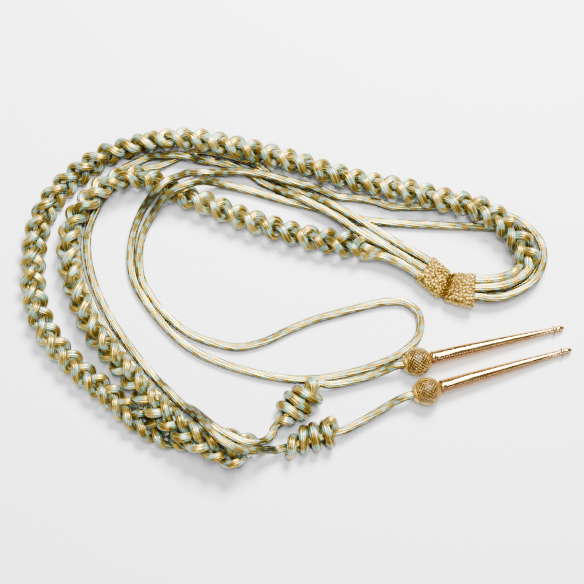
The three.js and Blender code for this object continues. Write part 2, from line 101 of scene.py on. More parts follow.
# %% Table
def new_object(name, mesh):
    """Puts a mesh into the scene as an object at the origin."""
    made = bpy.data.objects.new(name, mesh)
    bpy.context.scene.collection.objects.link(made)
    return made


TABLE_SIZE = 6.0

table_bm = bmesh.new()
bmesh.ops.create_grid(table_bm, x_segments=1, y_segments=1, size=TABLE_SIZE / 2)
table_mesh = bpy.data.meshes.new("table")
table_bm.to_mesh(table_mesh)
table_bm.free()
table = new_object("table", table_mesh)
table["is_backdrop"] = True
print("table", TABLE_SIZE, "m wide")

# %% Light panels
def light_panel(name, place, size, watts, colour):
    """A square soft light at a place, aimed at the ornament."""
    data = bpy.data.lights.new(name, "AREA")
    data.size = size
    data.energy = watts
    data.color = colour
    panel = bpy.data.objects.new(name, data)
    panel.location = place
    panel.rotation_mode = "QUATERNION"
    panel.rotation_quaternion = (Vector(place) - TARGET).to_track_quat("Z", "Y")
    bpy.context.scene.collection.objects.link(panel)
    print(name, watts, "W")


light_panel("main_light", (0.22, 0.62, 0.85), 0.34, 60.0, (1.0, 1.0, 0.97))
light_panel("top_light", (0.05, 0.2, 1.5), 0.5, 24.0, (1.0, 1.0, 1.0))
light_panel("front_fill", (-0.3, -0.9, 0.8), 0.9, 4.0, (0.93, 0.95, 1.0))
world = bpy.data.worlds.new("studio")
world.use_nodes = True
background = world.node_tree.nodes["Background"]
background.inputs["Color"].default_value = (0.86, 0.87, 0.92, 1)
background.inputs["Strength"].default_value = 0.24
bpy.context.scene.world = world

# %% [markdown]
# ## Node helpers
# Each finish is a small tree of nodes. These helpers add a node, or a step of
# arithmetic, and link it, so that a finish reads as a short recipe.

# %% Node helpers
def start_material(name):
    """A material with its node tree, its shader and nothing else."""
    material = bpy.data.materials.new(name)
    material.use_nodes = True
    tree = material.node_tree
    return material, tree, tree.nodes["Principled BSDF"]


def feed(tree, socket, value):
    """Links a socket to an output, or sets it to a plain value."""
    if isinstance(value, bpy.types.NodeSocket):
        tree.links.new(value, socket)
    else:
        socket.default_value = value


def calc(tree, operation, *values):
    """One step of arithmetic."""
    node = tree.nodes.new("ShaderNodeMath")
    node.operation = operation
    for socket, value in zip(node.inputs, values):
        feed(tree, socket, value)
    return node.outputs[0]


def remap(tree, value, low, high, to_low=0.0, to_high=1.0):
    """Smooth step from one range to another."""
    node = tree.nodes.new("ShaderNodeMapRange")
    node.interpolation_type = "SMOOTHSTEP"
    for socket, given in zip(node.inputs, (value, low, high, to_low, to_high)):
        feed(tree, socket, given)
    return node.outputs[0]


def blend_colours(tree, share, first, second, how="MIX"):
    """Mixes two colours, or an output with a colour."""
    node = tree.nodes.new("ShaderNodeMix")
    node.data_type = "RGBA"
    node.blend_type = how
    feed(tree, node.inputs[0], share)
    feed(tree, node.inputs[6], first)
    feed(tree, node.inputs[7], second)
    return node.outputs[2]


def grain(tree, vector, scale, detail=2.0):
    """A noise value of about 0 to 1 in a space of the caller's choice."""
    node = tree.nodes.new("ShaderNodeTexNoise")
    node.inputs["Scale"].default_value = scale
    node.inputs["Detail"].default_value = detail
    tree.links.new(vector, node.inputs["Vector"])
    return node.outputs["Fac"]


def bump(tree, shader, height, distance):
    """Puts a height onto the shader's normal."""
    node = tree.nodes.new("ShaderNodeBump")
    node.inputs["Strength"].default_value = 1.0
    node.inputs["Distance"].default_value = distance
    tree.links.new(height, node.inputs["Height"])
    tree.links.new(node.outputs["Normal"], shader.inputs["Normal"])


def colour(r, g, b):
    """A colour given as 0 to 255 on a screen, as linear light for a socket."""
    return (*(((c / 255 + 0.055) / 1.055) ** 2.4 for c in (r, g, b)), 1.0)


# %% Finish of the table
table_finish, tree, shader = start_material("table_finish")
space = tree.nodes.new("ShaderNodeTexCoord").outputs["Object"]
speckle = grain(tree, space, 900.0)
tone = blend_colours(tree, speckle, colour(247, 247, 250), colour(252, 252, 254))
tree.links.new(tone, shader.inputs["Base Color"])
shader.inputs["Roughness"].default_value = 0.8
shader.inputs["Specular IOR Level"].default_value = 0.1
table_mesh.materials.append(table_finish)
print("table finish", len(tree.nodes), "nodes")

# %% [markdown]
# ## Finish of the cord
# The cord is a round core under a sheath of twelve gold wires that run along it. Where
# silk in pale aqua covers them there are short checks, in four rows round the cord, and
# every second row is a part of a period behind its neighbours: half of one on the plain
# cords, and less on the plaits and knots, where the checks line up into bands. The
# pattern has to follow the cord wherever it turns, so the finish reads the cord's own UV
# map: U is the length along the cord in metres, and V is the way round it from 0 to 1.
# The wires themselves are real ridges of the mesh, and the finish paints shade into the
# grooves between them. It also paints the sides and the underside darker than the top,
# as painted shade.

# %% Finish of the cord
CHECK_PERIOD = 0.0094
CHECK_SHARE = 0.34
CHECK_BLUR = 0.06
CHECK_ROWS = 4
CHECK_RAGGED = 0.16
WIRES = 12
TONE_ALONG = 55.0
TONE_AROUND = 1.7
GOLD = colour(140, 110, 26), colour(246, 212, 96)
AQUA = colour(100, 148, 124), colour(204, 238, 214)
PAINTED_SIDE_SHADE = colour(40, 38, 16)
SHEATH_KEPT_IN_SHADE = 0.1
GROOVE_SHADE = 0.12
GROOVE_EDGE = 0.7


def cord_finish(name, stagger, lit_from):
    """Gold wire with aqua checks, with painted shade where it faces up less than a limit."""
    material, tree, shader = start_material(name)
    uv = tree.nodes.new("ShaderNodeUVMap")
    uv.uv_map = "UVMap"
    split = tree.nodes.new("ShaderNodeSeparateXYZ")
    tree.links.new(uv.outputs[0], split.inputs[0])
    along, around = split.outputs[0], split.outputs[1]
    # How far up its wire a point is, and the number of that wire.
    wires = calc(tree, "MULTIPLY", around, float(WIRES))
    wave = calc(tree, "SINE", calc(tree, "MULTIPLY", wires, math.pi))
    ridge = calc(tree, "ABSOLUTE", wave)
    number = calc(tree, "FLOOR", wires)
    white = tree.nodes.new("ShaderNodeTexWhiteNoise")
    white.noise_dimensions = "1D"
    tree.links.new(number, white.inputs["W"])
    ragged = calc(tree, "MULTIPLY", white.outputs["Value"], CHECK_RAGGED)
    # The checks, with ends that differ a little from wire to wire.
    row = calc(tree, "FLOOR", calc(tree, "MULTIPLY", around, float(CHECK_ROWS)))
    behind = calc(tree, "MULTIPLY", calc(tree, "MODULO", row, 2.0), stagger)
    late = calc(tree, "ADD", behind, ragged)
    place = calc(tree, "MULTIPLY_ADD", along, 1 / CHECK_PERIOD, late)
    off = calc(tree, "ABSOLUTE", calc(tree, "SUBTRACT", calc(tree, "FRACT", place), 0.5))
    check = remap(tree, off, CHECK_SHARE / 2 + CHECK_BLUR, CHECK_SHARE / 2 - CHECK_BLUR)
    # Tone changes from wire to wire and slowly along each one.
    spot = tree.nodes.new("ShaderNodeCombineXYZ")
    tree.links.new(calc(tree, "MULTIPLY", along, TONE_ALONG), spot.inputs[0])
    tree.links.new(calc(tree, "MULTIPLY", number, TONE_AROUND), spot.inputs[1])
    tone = grain(tree, spot.outputs[0], 1.0, 1.0)
    gold = blend_colours(tree, remap(tree, tone, 0.35, 0.65), *GOLD)
    aqua = blend_colours(tree, remap(tree, tone, 0.3, 0.7), *AQUA)
    sheath = blend_colours(tree, check, gold, aqua)
    # Painted shade in the grooves between the wires.
    painted_groove_shade = remap(tree, ridge, 0.0, GROOVE_EDGE, GROOVE_SHADE, 1.0)
    shade = tree.nodes.new("ShaderNodeCombineColor")
    for socket in shade.inputs[:3]:
        tree.links.new(painted_groove_shade, socket)
    # Painted shade: the sides and the underside are painted darker than what faces up.
    facing = tree.nodes.new("ShaderNodeSeparateXYZ")
    surface = tree.nodes.new("ShaderNodeNewGeometry")
    tree.links.new(surface.outputs["Normal"], facing.inputs[0])
    lit_share = remap(tree, facing.outputs[2], lit_from, 1.0, SHEATH_KEPT_IN_SHADE, 1.0)
    side_shaded = blend_colours(tree, lit_share, PAINTED_SIDE_SHADE, sheath)
    final = blend_colours(tree, 1.0, side_shaded, shade.outputs[0], "MULTIPLY")
    tree.links.new(final, shader.inputs["Base Color"])
    tree.links.new(remap(tree, check, 0.0, 1.0, 0.85, 0.5), shader.inputs["Metallic"])
    tree.links.new(remap(tree, check, 0.0, 1.0, 0.3, 0.36), shader.inputs["Roughness"])
    return material


cord_material = cord_finish("cord_finish", 0.5, 0.64)
strand_material = cord_finish("strand_finish", 0.22, 0.1)
print("cord checks every", CHECK_PERIOD * 1000, "mm")

# %% [markdown]
# ## Routes
# The plan is laid out in units of 0.65 mm, which is one pixel of the photograph, and
# each row of a route is x, y and the height in mm of the cord's middle. A smooth curve
# through the rows, as a draughtsman's spline gives, is then cut into equal short steps.

# %% Plan and smooth paths
UNIT = 0.00065
MM = 0.001
PLAN_ZERO = (0.00235, -0.0001)
CORD_D = 0.0054
CORD_STEP = 0.0018
STRAND_STEP = 0.0012
SPAN_STEPS = 16
TABLE_GAP = 0.00003


def plan_points(rows):
    """Rows of the plan as points in metres."""
    plan = np.array([row[:3] for row in rows], float)
    plan[:, :2] = plan[:, :2] * UNIT + PLAN_ZERO
    plan[:, 2] *= MM
    return plan


def smooth_line(points):
    """A smooth curve through points, with even tension whatever their spacing."""
    points = np.asarray(points, float)
    ends = np.vstack([2 * points[0] - points[1], points, 2 * points[-1] - points[-2]])
    line = []
    for before, start, end, after in zip(ends[:-3], ends[1:-2], ends[2:-1], ends[3:]):
        t0, t1, t2 = (
            np.linalg.norm(b - a) ** 0.5
            for a, b in ((before, start), (start, end), (end, after))
        )
        chord = (end - start) / t1
        leave = t1 * ((start - before) / t0 - (end - before) / (t0 + t1) + chord)
        arrive = t1 * (chord - (after - start) / (t1 + t2) + (after - end) / t2)
        for s in np.arange(SPAN_STEPS) / SPAN_STEPS:
            line.append(
                start
                + leave * s
                + (3 * (end - start) - 2 * leave - arrive) * s**2
                + (2 * (start - end) + leave + arrive) * s**3
            )
    line.append(points[-1])
    return np.array(line)


def run_of(line):
    """The length along a line at each of its points."""
    steps = np.linalg.norm(np.diff(line, axis=0), axis=1)
    return np.concatenate([[0], np.cumsum(steps)])


def even_steps(line, step=CORD_STEP):
    """The same line with points an equal step apart."""
    run = run_of(line)
    wanted = np.linspace(0, run[-1], max(int(round(run[-1] / step)), 2) + 1)
    return np.column_stack([np.interp(wanted, run, line[:, k]) for k in range(3)])


def route(rows):
    """A cord's path through plan rows, which never dips below the table."""
    path = even_steps(smooth_line(plan_points(rows)))
    path[:, 2] = np.maximum(path[:, 2], CORD_D / 2 + TABLE_GAP)
    return path


# %% Cord from a path
WIRE_POINTS = 4
WIRE_DEPTH = 0.0005
WIRE_ROUND = 0.7
WIRE_TURN = 26.0
THIN_RINGS = 3


def wire_section(name, diameter):
    """The outline of a ring of round wires, which is swept along a cord's path."""
    outline = bpy.data.curves.new(name + "_section", "CURVE")
    spline = outline.splines.new("POLY")
    spline.use_cyclic_u = True
    count = WIRES * WIRE_POINTS
    spline.points.add(count - 1)
    for i, point in enumerate(spline.points):
        turn = 2 * math.pi * i / count
        lift = abs(math.sin(math.pi * i / WIRE_POINTS)) ** WIRE_ROUND
        radius = diameter / 2 - WIRE_DEPTH * (1 - lift)
        point.co = (radius * math.cos(turn), radius * math.sin(turn), 0, 1)
    return new_object(name + "_section", outline)


def cord_mesh(name, path, diameter, wires=True):
    """A swept curve made a mesh, with U in metres along it and V round it."""
    curve = bpy.data.curves.new(name, "CURVE")
    curve.dimensions = "3D"
    curve.twist_mode = "MINIMUM"
    curve.use_fill_caps = True
    section = None
    if wires:
        section = wire_section(name, diameter)
        curve.bevel_mode = "OBJECT"
        curve.bevel_object = section
    else:
        curve.bevel_depth = diameter / 2
        curve.bevel_resolution = THIN_RINGS
    run = run_of(path)
    spline = curve.splines.new("POLY")
    spline.points.add(len(path) - 1)
    places = np.column_stack([path, np.ones(len(path))])
    spline.points.foreach_set("co", places.ravel())
    spline.points.foreach_set("tilt", run * WIRE_TURN)
    holder = new_object(name + "_curve", curve)
    graph = bpy.context.evaluated_depsgraph_get()
    mesh = bpy.data.meshes.new_from_object(holder.evaluated_get(graph))
    bpy.data.objects.remove(holder)
    bpy.data.curves.remove(curve)
    if section:
        outline = section.data
        bpy.data.objects.remove(section)
        bpy.data.curves.remove(outline)
    mesh.name = name
    uv = np.zeros(len(mesh.loops) * 2, np.float32)
    mesh.uv_layers[0].data.foreach_get("uv", uv)
    uv[0::2] *= run[-1]
    mesh.uv_layers[0].data.foreach_set("uv", uv)
    shell = bmesh.new()
    shell.from_mesh(mesh)
    bmesh.ops.remove_doubles(shell, verts=shell.verts[:], dist=1e-7)
    if shell.calc_volume(signed=True) < 0:
        bmesh.ops.reverse_faces(shell, faces=shell.faces[:])
    shell.to_mesh(mesh)
    shell.free()
    mesh.shade_smooth()
    return mesh


def cord_piece(name, path, diameter, finish, *nodes):
    """A cord as a finished object that stands for CAD nodes."""
    mesh = cord_mesh(name, path, diameter)
    mesh.materials.clear()
    mesh.materials.append(finish)
    piece = new_object(name, mesh)
    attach(piece, "root")
    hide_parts(*nodes)
    print(name, len(mesh.polygons), "faces,", round(run_of(path)[-1], 3), "m")
    return piece


# %% [markdown]
# ## Loop cord
# One plain cord leaves the wrap on the right, passes under the outer plait, runs round
# the whole ornament and comes back beside itself. Its two legs lie side by side with a
# round bight at the near end, so it reads as a doubled cord.

# %% Loop cord
LOOP_CORD = [
    [163, -1.5, 10.1], [178, -1.6, 10.1], [190, -3, 9.6], [204, -1.6, 8.6],
    [217, 3.2, 8.6], [229.4, 10.2, 8.6], [238, 18.5, 8.6], [243.5, 29, 8.6],
    [245.5, 42, 8.6], [243, 54, 7.6], [237, 64, 5], [228, 73, 2.9],
    [214, 81, 2.8], [194, 87, 2.8], [170, 90, 2.8], [147, 91, 2.8],
    [127, 91, 2.8], [109, 91, 2.8], [93, 91.5, 2.8], [78, 96.5, 2.8],
    [58, 100, 2.8], [40, 101.5, 2.8], [28, 106, 4], [14, 110.5, 6.5],
    [-4, 114.5, 8.6], [-24, 120, 8.6], [-42, 124, 8.6], [-53, 125.5, 8.6],
    [-64, 126, 8.2], [-76, 125.6, 6], [-88, 125.5, 4.4], [-98, 125, 5.4],
    [-109, 124, 9], [-121, 118, 15], [-131, 112, 19.6], [-140, 104, 19.6],
    [-148, 96, 14.6], [-157, 85, 8], [-163, 73, 4.2], [-167, 58, 2.9],
    [-168.5, 40, 2.8], [-167, 24, 2.8], [-161, 8, 2.8], [-150, -9, 2.8],
    [-134, -29, 2.8], [-116, -46, 2.8], [-99, -57, 2.8], [-76, -67, 2.8],
    [-50, -75, 2.8], [-22, -81, 2.8], [4, -83, 2.8], [31, -81, 2.8],
    [56, -75.5, 2.8], [80, -68, 2.8], [97, -60.5, 2.8], [110, -51.5, 2.8],
    [119, -42, 2.8], [122.5, -30, 2.8], [120, -16, 2.8], [106, -6, 2.8],
    [88, -5.5, 2.8], [70, -9, 2.8], [43, -16, 2.8], [16, -23.5, 2.8],
    [-12, -35, 2.8], [-33, -45, 2.8], [-60, -51, 2.8], [-86, -46, 2.8],
    [-106, -38.5, 2.8], [-123, -27, 2.8], [-137, -14, 2.8], [-149, 2, 2.8],
    [-157, 18, 2.8], [-159.8, 36, 2.8], [-159, 52, 2.8], [-155, 67, 3.4],
    [-147, 81, 6.6], [-137, 93, 13.6], [-124, 103, 19.6], [-111, 109, 19.6],
    [-98, 113.5, 15], [-86, 114.5, 8.5], [-73, 113, 4.6], [-48, 107.5, 2.9],
    [-28, 101.5, 2.8], [-6, 95.5, 2.8], [18, 90, 2.8], [40, 85, 2.8],
    [54, 81, 2.8], [67, 77.5, 2.8], [90, 75, 2.8], [112, 73.5, 2.8],
    [142, 72, 2.8], [168, 71, 2.8], [190, 70, 2.8], [206, 68, 2.8],
    [222, 61, 2.8], [233, 50, 2.8], [238.5, 38, 2.8], [238.5, 26, 2.8],
    [232, 16, 2.8], [220, 7.5, 2.8], [205, 1.5, 3], [190, 1.5, 4],
    [178, 2.6, 4.3], [163, 2.6, 4.3],
]
loop_path = route(LOOP_CORD)
loop_cord = cord_piece("loop_cord_sheath", loop_path, CORD_D, cord_material, "loop_cord")

# %% [markdown]
# ## Tag cords
# Two more plain cords leave the wrap on the left, over the end of the inner plait. They
# lie between the two plaits all the way round, cross over them at the near end and run
# into the coil knots. A short length of each then goes from its knot to its ball.

# %% Tag cords
COIL_HEIGHT = 16.2
COIL_1_AT, COIL_1_LENGTH, COIL_1_DEGREES = (-2, -110), 27, 45
COIL_2_AT, COIL_2_LENGTH, COIL_2_DEGREES = (11.5, -143.5), 30, 16
BALL_D = 18.2
BALL_FLAT_D = 7
BALL_1_AT, TAG_1_DEGREES = (118.4, -65.4), 13
BALL_2_AT, TAG_2_DEGREES = (127.7, -94.7), 15.9
GAP = 0.3
LEAD = 7
TAG_LENGTH = 88
TAG_TIP_Z = 3.2
BALL_END = BALL_D / 2 * math.cos(math.asin(BALL_FLAT_D / BALL_D))
TAG_SLOPE = math.asin((BALL_D / 2 - TAG_TIP_Z) / (BALL_END + GAP + TAG_LENGTH))


def on_axis(at, degrees, distance):
    """Plan place that many mm along a direction from another."""
    turn = math.radians(degrees)
    step = distance * MM / UNIT
    return [at[0] + step * math.cos(turn), at[1] + step * math.sin(turn)]


def knot_meet(at, degrees, distance, further):
    """Two plan rows in line with a knot, where a cord meets one of its ends."""
    reaches = (distance, distance + further)
    return [[*on_axis(at, degrees, d), COIL_HEIGHT / 2] for d in reaches]


def ball_meet(at, degrees):
    """Two plan rows in line with a tag, where a cord meets its ball."""
    rows = []
    for further in (LEAD, 0):
        back_off = -(BALL_END + GAP + further)
        rows.append([
            *on_axis(at, degrees, back_off * math.cos(TAG_SLOPE)),
            BALL_D / 2 - back_off * math.sin(TAG_SLOPE),
        ])
    return rows


TAG_CORD_1 = [
    [134.6, 19.8, 10.1], [125.5, 27.5, 10.1], [118, 31.5, 10.2], [106, 38.5, 10.5],
    [93, 46, 10.8], [80, 53.5, 10.8], [67.5, 60, 10.8], [55, 67.5, 10.4],
    [43.5, 76.5, 9], [33, 83, 8.6], [18, 90.5, 8.6], [2, 99, 8.2],
    [-12, 105, 5.5], [-25, 111, 2.9], [-38, 117, 2.8], [-50, 125, 2.8],
    [-62, 131.5, 2.8], [-76, 135.4, 2.8], [-88, 137.2, 3], [-100, 138.8, 5],
    [-109, 141, 8.4], [-121, 142.8, 8.8], [-130, 142.6, 8.2], [-141, 142.7, 6],
    [-151, 142.2, 3], [-164, 136.5, 2.8], [-180, 128, 2.8], [-197, 115, 2.8],
    [-210, 98, 2.8], [-218, 80, 2.8], [-222, 62, 2.8], [-222, 46, 2.8],
    [-219, 26, 2.8], [-212.5, 6, 2.8], [-201, -19, 2.8], [-186, -41, 2.8],
    [-170, -63.5, 2.8], [-153.5, -83.5, 2.8], [-139.5, -98.5, 2.8], [-125, -107, 2.8],
    [-106, -112.5, 5], [-95, -120, 11], [-85, -128, 15.6], [-75, -134.5, 16.2],
    [-62, -141, 16.2], [-50, -145.2, 16.2], [-40, -145.6, 14.8], [-32, -143.5, 11.5],
    [-25, -136.5, 8.8],
    *reversed(knot_meet(COIL_1_AT, COIL_1_DEGREES, -COIL_1_LENGTH / 2 - GAP, -LEAD)),
]
TAG_CORD_2 = [
    [140.1, 26.6, 10.1], [131, 34.4, 10.1], [118, 41.8, 10.3], [105, 49, 10.6],
    [90, 58, 10.6], [74, 68, 10.4], [60, 77, 9.6], [47, 85, 8.8],
    [33, 92.5, 8.6], [20, 98, 6.2], [7, 104, 3.2], [-6, 110.5, 2.8],
    [-16, 116, 2.8], [-26, 122.5, 2.8], [-36, 129.5, 2.8], [-48, 136.5, 2.8],
    [-62, 141.5, 2.8], [-78, 145.5, 2.8], [-94, 148, 2.8], [-107, 147, 2.8],
    [-119, 143, 2.8], [-130, 137.5, 2.8], [-141, 132.5, 2.8], [-150, 131, 2.8],
    [-161, 127.5, 2.8], [-175, 120, 2.8], [-190, 108.5, 2.8], [-201, 94, 2.8],
    [-208, 78, 2.8], [-212, 62, 2.8], [-212, 45, 2.8], [-208, 24, 2.8],
    [-202, 6, 2.8], [-189, -20, 2.8], [-176, -40, 2.8], [-161, -60, 2.8],
    [-144, -80, 2.8], [-129, -94.5, 6.6], [-118, -105, 8.6], [-110, -112, 11],
    [-101, -119, 16], [-91, -128, 22], [-82, -136, 25.4], [-74, -143, 26.4],
    [-64, -149, 26.2], [-53, -152.8, 24], [-41, -153.4, 20], [-30, -152.8, 13],
    *reversed(knot_meet(COIL_2_AT, COIL_2_DEGREES, -COIL_2_LENGTH / 2 - GAP, -LEAD)),
]
TAG_DROP_1 = [
    *knot_meet(COIL_1_AT, COIL_1_DEGREES, COIL_1_LENGTH / 2 + GAP, LEAD),
    [30, -89, 7.4], [48, -86, 6.2], [66, -81.4, 6.2], [86, -74.6, 7.8],
    *ball_meet(BALL_1_AT, TAG_1_DEGREES),
]
TAG_DROP_2 = [
    *knot_meet(COIL_2_AT, COIL_2_DEGREES, COIL_2_LENGTH / 2 + GAP, LEAD),
    [64, -124, 6.6], [78, -116, 6.6], [93, -107, 7.6],
    *ball_meet(BALL_2_AT, TAG_2_DEGREES),
]
tag_paths = [route(rows) for rows in (TAG_CORD_1, TAG_CORD_2, TAG_DROP_1, TAG_DROP_2)]
tag_cord_1, tag_cord_2, tag_drop_1, tag_drop_2 = (
    cord_piece(name, path, CORD_D, cord_material, node)
    for name, path, node in zip(
        ("tag_cord_1_sheath", "tag_cord_2_sheath", "tag_drop_1_sheath", "tag_drop_2_sheath"),
        tag_paths,
        ("tag_cord_1_upper", "tag_cord_2_upper", "tag_cord_1_lower", "tag_cord_2_lower"),
    )
)

# %% [markdown]
# ## Plaits
# Each plaited band is a plain three-strand plait of the same cord. A strand swings from
# edge to edge and passes over and under as it goes: its sideways swing is a sine wave,
# and its up and down is a sine wave at twice the rate. The other two strands do the
# same a third of a swing later. The band leans over on one edge or the other, so each
# row of its table also has the angle that it is rolled by: at 0 degrees it lies flat,
# and past 90 its inner edge is the upper one.

# %% Plait line and strands
SWING = 0.0061
SWELL = 0.0036
STRAND_D = 0.0057
OUTER_TURNS = 17
INNER_TURNS = 11.5
FIRST_SWING = 0.5
SWING_STEPS = 36
TAIL_AIM = 4


def plait_line(rows):
    """Middle line of a plait, with its sideways and upward directions."""
    line = smooth_line(plan_points(rows))
    share = np.arange(len(line)) / SPAN_STEPS
    degrees = np.interp(share, range(len(rows)), [row[3] for row in rows])
    roll = np.radians(degrees)[:, None]
    along = np.gradient(line, axis=0)
    along /= np.linalg.norm(along, axis=1)[:, None]
    out = np.cross(along, (0, 0, 1))
    out /= np.linalg.norm(out, axis=1)[:, None]
    up = np.cross(out, along)
    side = out * np.cos(roll) + up * np.sin(roll)
    face = up * np.cos(roll) - out * np.sin(roll)
    return line, side, face


def plait_strand(plait, turns, which, tail):
    """One strand's path: its tail out of the wrap, then its swings along the plait."""
    line, side, face = plait
    run = run_of(line)
    wanted = np.linspace(0, run[-1], int(turns * SWING_STEPS) + 1)
    middle, across, upward = (
        np.column_stack([np.interp(wanted, run, given[:, k]) for k in range(3)])
        for given in (line, side, face)
    )
    turned = which / 3 + FIRST_SWING + wanted / run[-1] * turns
    angle = (2 * math.pi * turned)[:, None]
    swings = middle + across * SWING * np.sin(angle) + upward * SWELL * np.sin(2 * angle)
    lead = smooth_line([*plan_points(tail), swings[0], swings[TAIL_AIM]])
    lead = lead[: len(lead) - SPAN_STEPS - 1]
    path = even_steps(np.vstack([lead, swings]), STRAND_STEP)
    path[:, 2] = np.maximum(path[:, 2], STRAND_D / 2 + TABLE_GAP)
    return path


# %% Outer plait
OUTER_PLAIT = [
    [229, 36, 12.4, 168], [219, 55, 13.0, 162], [204, 72, 13.4, 156], [182, 86, 13.6, 148],
    [140, 97, 13.8, 136], [105, 106, 13.8, 128], [72, 113, 10.2, 125], [36, 123, 8.9, 125],
    [-10, 136, 13.4, 125], [-50, 146, 14.0, 125], [-98, 156, 14.0, 122], [-124, 158, 13.8, 112],
    [-146, 157, 10.2, 100], [-172, 150, 8.1, 86], [-194, 142, 8.1, 72], [-212, 130, 8.1, 60],
    [-232, 114, 8.1, 55], [-250, 92, 8.1, 55], [-262, 62, 8.1, 55], [-265, 30, 8.1, 55],
    [-262, -5, 8.1, 55], [-247, -41, 8.1, 55], [-216, -75, 8.1, 55], [-182, -103, 8.1, 40],
    [-158, -124, 7.4, 20], [-132, -138, 6.6, 8], [-104, -142, 6.4, 4], [-78, -143, 6.4, 4],
    [-58, -147, 6.3, 4], [-46, -151, 6.2, 4],
]
OUTER_TAILS = [
    [
        [163, 7, 10.1], [178, 7, 10.4], [191, 8, 10.8],
        [206, 11, 11.6], [221, 18, 12.8], [229, 26, 13],
    ],
    [
        [163, 11.4, 4.3], [178, 11, 4.3], [192, 12, 4.3],
        [208, 15, 4.8], [222, 20, 6], [232, 28, 8],
    ],
    [[163, 15.2, 10.1], [178, 15, 10.4], [191, 16, 11], [204, 18.5, 12], [215, 23, 13.5]],
]


def make_plait(side, rows, turns, tails):
    """The three strands of one plaited band."""
    line = plait_line(rows)
    for i, tail in enumerate(tails):
        path = plait_strand(line, turns, i, tail)
        node = f"{side}_plait_strand_{i + 1}"
        cord_piece(f"{side}_strand_{i + 1}", path, STRAND_D, strand_material, node)


make_plait("outer", OUTER_PLAIT, OUTER_TURNS, OUTER_TAILS)

# %% Inner plait
INNER_PLAIT = [
    [66, 49, 8.1, 160], [40, 53, 8.8, 148], [-2, 62, 8.1, 128], [-38, 73, 8.1, 125],
    [-62, 81, 8.1, 125], [-99, 96, 8.1, 125], [-128, 106, 8.1, 125], [-146, 115, 9.4, 125],
    [-161, 119, 12.0, 125], [-180, 116, 14.3, 125], [-200, 105, 14.3, 125], [-211, 93, 14.3, 125],
    [-222, 78, 14.3, 125], [-228, 58, 14.3, 125], [-228, 38, 14.3, 125], [-224, 16, 14.0, 125],
    [-217, -4, 13.8, 125], [-208, -26, 13.6, 125], [-197, -44, 13.4, 125], [-182, -60, 13.4, 128],
    [-164, -82, 14, 134], [-146, -103, 16, 150], [-128, -121, 18.4, 164], [-106, -138, 18.8, 172],
    [-88, -149, 18.6, 174], [-68, -157, 17.6, 176], [-54, -161, 16.8, 176],
]
INNER_TAILS = [
    [[132.2, 16.8, 4.3], [122.7, 24.1, 4.3], [112, 30, 4.3], [98, 38, 4.5], [84, 43.5, 6]],
    [[137.8, 23.6, 4.3], [128.3, 30.9, 4.3], [116, 38, 4.2], [100, 46, 3.6], [84, 52, 3.6]],
    [[129.3, 13.5, 10.1], [120, 21, 10.1], [110, 27.5, 10.2], [98, 34, 10.4], [82, 39.5, 11]],
]
make_plait("inner", INNER_PLAIT, INNER_TURNS, INNER_TAILS)

# %% [markdown]
# ## Coil knots
# Each tag cord is wound into a barrel of four turns round its own core. The turns lie
# at a slant and a little apart, so the table of a knot gives, for each turn, where its
# visible half starts and ends along the knot and to the side, in mm. The half below the
# knot then joins one turn to the next. A loop over the table makes the winding. A plain
# core fills its middle, and a small bight of the same cord stands up at its end.

# %% Coil knots
KNOT_CORD_D = 0.0063
KNOT_CORE_D = 0.0046
TOP_HALF = (0, 45, 90, 135, 180)
LOW_HALF = (45, 90, 135)
KNOT_1_TURNS = [
    [-14.0, -8.7, 4.4, -7.6], [-6.7, -1.7, 11.0, -10.9],
    [1.2, 4.2, 12.2, -10.9], [7.3, 13.0, 10.5, -10.9],
]
KNOT_2_TURNS = [
    [-15.0, -9.6, -8.6, 7.6], [-5.4, -1.8, -8.2, 11.2],
    [3.0, 4.0, -8.6, 11.4], [12.3, 11.6, -9.1, 10.9],
]


def knot_winding(turns, at, degrees, first, last):
    """Path of a knot's winding, between two plain points near its core."""
    height = COIL_HEIGHT / 2
    rise = height - KNOT_CORD_D / MM / 2
    keys = [first]
    for i, (start, end, side_a, side_b) in enumerate(turns):
        inset = math.copysign(KNOT_CORD_D / MM / 2, side_a - side_b)
        side_a, side_b = side_a - inset, side_b + inset
        middle, reach = (side_a + side_b) / 2, (side_a - side_b) / 2
        for step in TOP_HALF:
            turn = math.radians(step)
            keys.append([
                start + (end - start) * step / 180,
                middle + reach * math.cos(turn),
                height + rise * math.sin(turn),
            ])
        if i < len(turns) - 1:
            following = turns[i + 1][0]
            for step in LOW_HALF:
                turn = math.radians(step)
                keys.append([
                    end + (following - end) * step / 180,
                    middle - reach * math.cos(turn),
                    height - rise * math.sin(turn),
                ])
    keys.append(last)
    angle = math.radians(degrees)
    zero = plan_points([[*at, 0]])[0]
    points = [
        zero + np.array([
            s * math.cos(angle) - n * math.sin(angle),
            s * math.sin(angle) + n * math.cos(angle),
            z,
        ]) * MM
        for s, n, z in keys
    ]
    return even_steps(smooth_line(points), STRAND_STEP)


def knot_core(at, degrees, length):
    """Path of the cord through the middle of a knot."""
    reach = length / 2 + GAP
    return even_steps(plan_points(knot_meet(at, degrees, -reach, 2 * reach)))


def join_pieces(name, meshes):
    """Several meshes as one."""
    joined = bmesh.new()
    for mesh in meshes:
        joined.from_mesh(mesh)
    whole = bpy.data.meshes.new(name)
    joined.to_mesh(whole)
    joined.free()
    return whole


